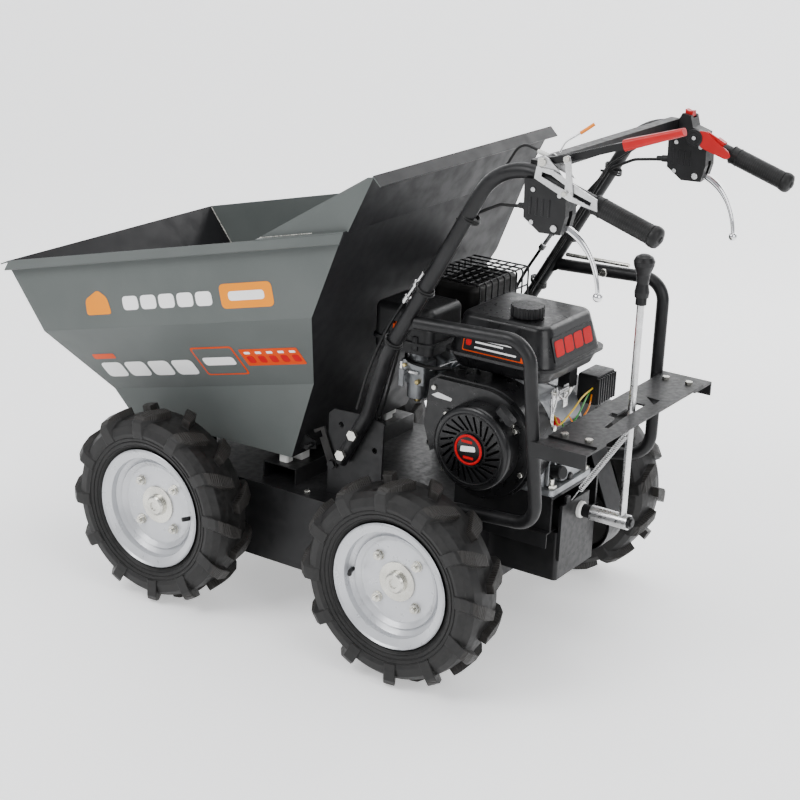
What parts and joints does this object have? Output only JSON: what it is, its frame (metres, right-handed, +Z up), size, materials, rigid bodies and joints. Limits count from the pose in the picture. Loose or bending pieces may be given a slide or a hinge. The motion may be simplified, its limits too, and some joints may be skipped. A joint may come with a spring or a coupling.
{
  "type": "power wheelbarrow",
  "caption": "Petrol mini dumper with tipping sheet bin, chain-driven lugged wheels, engine inside a tube guard and a two-handed handlebar.",
  "frame": {"origin": "centre of the bounding box on the ground plane", "axes": "+Z up, +Y towards the operator, -Y is the bin end, +X is the machine's left side"},
  "size_m": [0.774, 1.4866, 1.1048],
  "materials": {
    "tyre": "black rubber with moulded ribs",
    "rim_silver": "silver paint, satin",
    "zinc": "yellowish zinc plate",
    "black_frame": "black powder coat",
    "bin_grey": "mid grey powder coat",
    "steel": "bare and zinc-plated steel",
    "dark_steel": "oiled dark steel",
    "rubber": "matt black rubber",
    "white_pad": "white plastic",
    "cast_alu": "as-cast aluminium",
    "engine_black": "black gloss paint",
    "black_plastic": "textured black plastic",
    "chrome": "polished chrome",
    "red_plastic": "red vinyl and plastic"
  },
  "bodies": {
    "chassis": {"chassis_shell": "black_frame", "shaft_bearings": "black_frame", "drive_chains": "dark_steel", "handle_brackets": "black_frame", "bin_supports": "black_frame", "rest_pads": "white_pad", "handle_tubes": "black_frame", "guard_tubes": "black_frame", "crossbeam": "black_frame", "gate_plate": "black_frame", "selector_bracket": "black_frame", "selector_spring": "steel", "engine_mount": "black_frame", "crankcase": "cast_alu", "cylinder_head": "cast_alu", "fan_shroud": "engine_black", "recoil_housing": "engine_black", "fuel_tank": "engine_black", "air_filter": "black_plastic", "carburettor": "cast_alu", "muffler": "dark_steel", "muffler_cage": "black_frame", "gearbox": "black_frame", "drive_belt": "rubber", "belt_cover": "black_frame", "hand_grips": "rubber", "lever_blocks": "black_plastic", "clutch_bracket": "steel", "switch_pod": "black_plastic", "control_cables": "rubber", "frame_bolts": "zinc"},
    "bin": {"bin_tub": "bin_grey", "bin_back_plate": "bin_grey", "bin_lugs": "dark_steel"},
    "latch": {"latch_hook": "steel"},
    "gear_lever": {"gear_lever": "steel", "gear_knob": "black_plastic"},
    "recoil_pull": {"recoil_handle": "black_plastic"},
    "engine_rotor": {"crank_rotor": "dark_steel"},
    "gearbox_input": {"gearbox_pulley": "dark_steel"},
    "fuel_cap": {"fuel_cap": "black_plastic"},
    "brake_left": {"brake_lever_left": "chrome"},
    "brake_right": {"brake_lever_right": "chrome"},
    "clutch": {"clutch_lever": "black_frame", "clutch_sleeve": "red_plastic"},
    "clutch_link": {"clutch_link": "steel"},
    "kill_switch": {"kill_rocker": "red_plastic"},
    "throttle": {"throttle_lever": "red_plastic"},
    "wheel_front_left": {"tyre_front_left": "tyre", "rim_front_left": "rim_silver", "hub_front_left": "zinc"},
    "wheel_rear_left": {"tyre_rear_left": "tyre", "rim_rear_left": "rim_silver", "hub_rear_left": "zinc"},
    "wheel_front_right": {"tyre_front_right": "tyre", "rim_front_right": "rim_silver", "hub_front_right": "zinc"},
    "wheel_rear_right": {"tyre_rear_right": "tyre", "rim_rear_right": "rim_silver", "hub_rear_right": "zinc"}
  },
  "joints": [
    {"name": "bin_tip", "type": "hinge", "parent": "chassis", "child": "bin", "pos_m": [0, -0.345, 0.29], "axis": [1, 0, 0], "range_deg": [0, 50]},
    {"name": "latch_swing", "type": "hinge", "parent": "chassis", "child": "latch", "pos_m": [0.2029, 0.024, 0.33], "axis": [1, 0, 0], "range_deg": [0, 40]},
    {"name": "gear_select", "type": "hinge", "parent": "chassis", "child": "gear_lever", "pos_m": [0, 0.56, 0.286], "axis": [0, 1, 0], "range_deg": [-8, 8]},
    {"name": "recoil_draw", "type": "slide", "parent": "chassis", "child": "recoil_pull", "axis": [0, 0.6402, 0.7682], "range_m": [0, 0.3], "stiffness_N_per_m": 30, "springref_m": -0.05},
    {"name": "engine_spin", "type": "hinge", "parent": "chassis", "child": "engine_rotor", "pos_m": [0, 0.339, 0.441], "axis": [1, 0, 0], "continuous": true},
    {"name": "gearbox_spin", "type": "hinge", "parent": "chassis", "child": "gearbox_input", "pos_m": [-0.1, 0.406, 0.215], "axis": [1, 0, 0], "continuous": true},
    {"name": "cap_turn", "type": "hinge", "parent": "chassis", "child": "fuel_cap", "pos_m": [0.064, 0.361, 0.68], "axis": [0, 0, 1], "range_deg": [0, 90]},
    {"name": "brake_left_squeeze", "type": "hinge", "parent": "chassis", "child": "brake_left", "pos_m": [0.275, 0.528, 0.908], "axis": [1, 0, 0], "range_deg": [0, 33], "stiffness_Nm_per_rad": 1.5, "springref_deg": -20.05},
    {"name": "brake_right_squeeze", "type": "hinge", "parent": "chassis", "child": "brake_right", "pos_m": [-0.275, 0.528, 0.908], "axis": [1, 0, 0], "range_deg": [0, 33], "stiffness_Nm_per_rad": 1.5, "springref_deg": -20.05},
    {"name": "clutch_squeeze", "type": "hinge", "parent": "chassis", "child": "clutch", "pos_m": [0.275, 0.497, 1.016], "axis": [1, 0, 0], "range_deg": [-34, 0], "stiffness_Nm_per_rad": 4, "springref_deg": 28.65},
    {"name": "clutch_link_swing", "type": "hinge", "parent": "clutch", "child": "clutch_link", "pos_m": [0.2985, 0.548, 1.03], "axis": [1, 0, 0], "range_deg": [0, 75]},
    {"name": "kill_rock", "type": "hinge", "parent": "chassis", "child": "kill_switch", "pos_m": [-0.275, 0.499, 1.019], "axis": [1, 0, 0], "range_deg": [-6, 6]},
    {"name": "throttle_turn", "type": "hinge", "parent": "chassis", "child": "throttle", "pos_m": [-0.246, 0.527, 0.984], "axis": [1, 0, 0], "range_deg": [0, 45]},
    {"name": "wheel_front_left_spin", "type": "hinge", "parent": "chassis", "child": "wheel_front_left", "pos_m": [0.332, -0.3035, 0.203], "axis": [1, 0, 0], "continuous": true},
    {"name": "wheel_rear_left_spin", "type": "hinge", "parent": "chassis", "child": "wheel_rear_left", "pos_m": [0.332, 0.2785, 0.203], "axis": [1, 0, 0], "continuous": true},
    {"name": "wheel_front_right_spin", "type": "hinge", "parent": "chassis", "child": "wheel_front_right", "pos_m": [-0.332, -0.3035, 0.203], "axis": [1, 0, 0], "continuous": true},
    {"name": "wheel_rear_right_spin", "type": "hinge", "parent": "chassis", "child": "wheel_rear_right", "pos_m": [-0.332, 0.2785, 0.203], "axis": [1, 0, 0], "continuous": true}
  ],
  "couplings": [
    {"joint": "wheel_front_left_spin", "follows": "wheel_rear_left_spin", "ratio": 1},
    {"joint": "wheel_front_right_spin", "follows": "wheel_rear_right_spin", "ratio": 1},
    {"joint": "gearbox_spin", "follows": "engine_spin", "ratio": 0.58621},
    {"joint": "clutch_link_swing", "follows": "clutch_squeeze", "ratio": -2.2}
  ]
}
